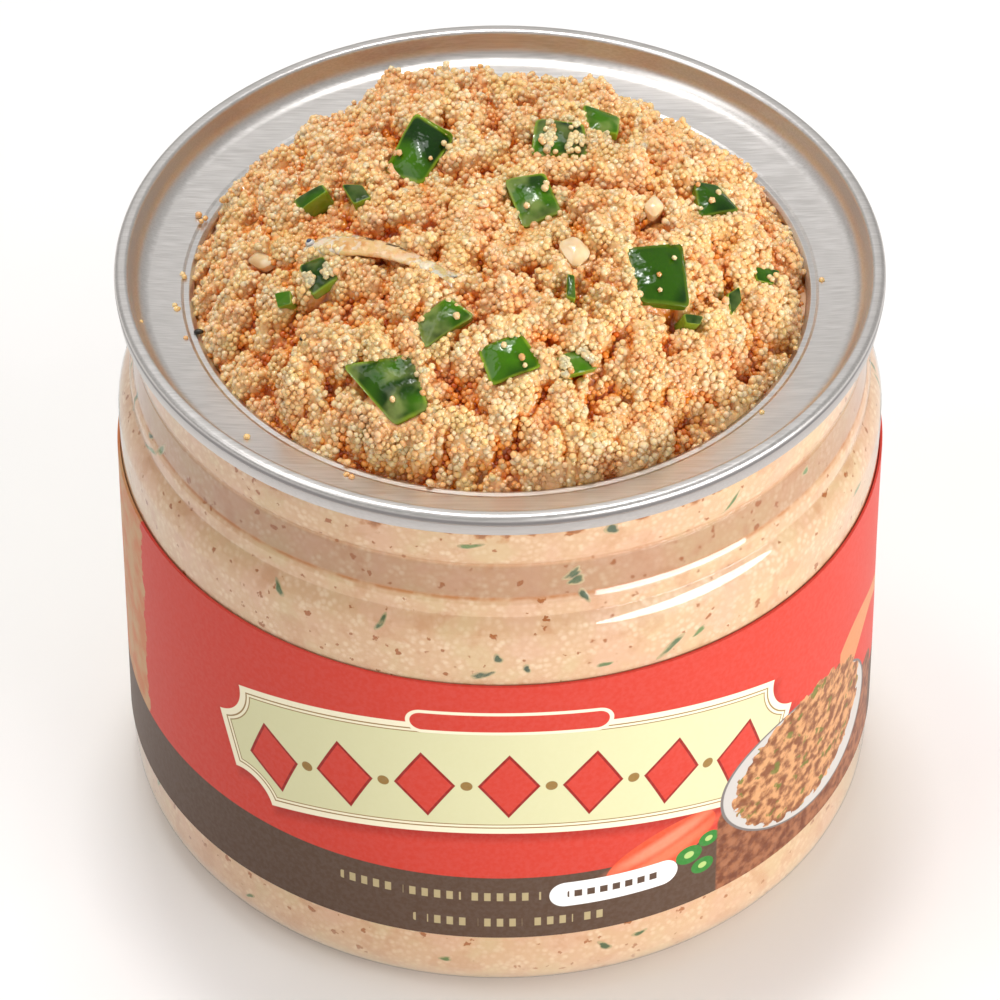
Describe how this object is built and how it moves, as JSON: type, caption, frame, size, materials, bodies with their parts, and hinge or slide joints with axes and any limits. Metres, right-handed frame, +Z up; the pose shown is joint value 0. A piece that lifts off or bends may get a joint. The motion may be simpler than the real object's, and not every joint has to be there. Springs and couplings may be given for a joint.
{
  "type": "open jar of mentaiko",
  "caption": "Open clear jar of loose seasoned fish roe heaped above its metal rim, with diced green chilli, garlic and a small dried fish on top, and a wrapped label.",
  "frame": {"origin": "centre of the jar's foot, on the surface that it stands on", "axes": "+Z up along the jar's axis, -Y towards the front of the label"},
  "size_m": [0.0776, 0.0776, 0.0762],
  "materials": {
    "clear_plastic": "clear, glossy",
    "metal": "satin rolled sheet, brighter on its folds",
    "label_print": "printed, satin coated",
    "roe": "moist grains, slightly translucent",
    "pepper": "wet, glossy",
    "garlic": "wet, translucent",
    "fish_skin": "dried skin, satin"
  },
  "bodies": {
    "root": {"jar": "clear_plastic", "rim_ring": "metal", "label": "label_print", "roe": "roe", "chilli_01": "pepper", "chilli_02": "pepper", "chilli_03": "pepper", "chilli_04": "pepper", "chilli_05": "pepper", "chilli_06": "pepper", "chilli_07": "pepper", "chilli_08": "pepper", "chilli_09": "pepper", "chilli_10": "pepper", "chilli_11": "pepper", "chilli_12": "pepper", "garlic_1": "garlic", "garlic_2": "garlic", "garlic_3": "garlic", "dried_fish": "fish_skin"}
  },
  "joints": []
}
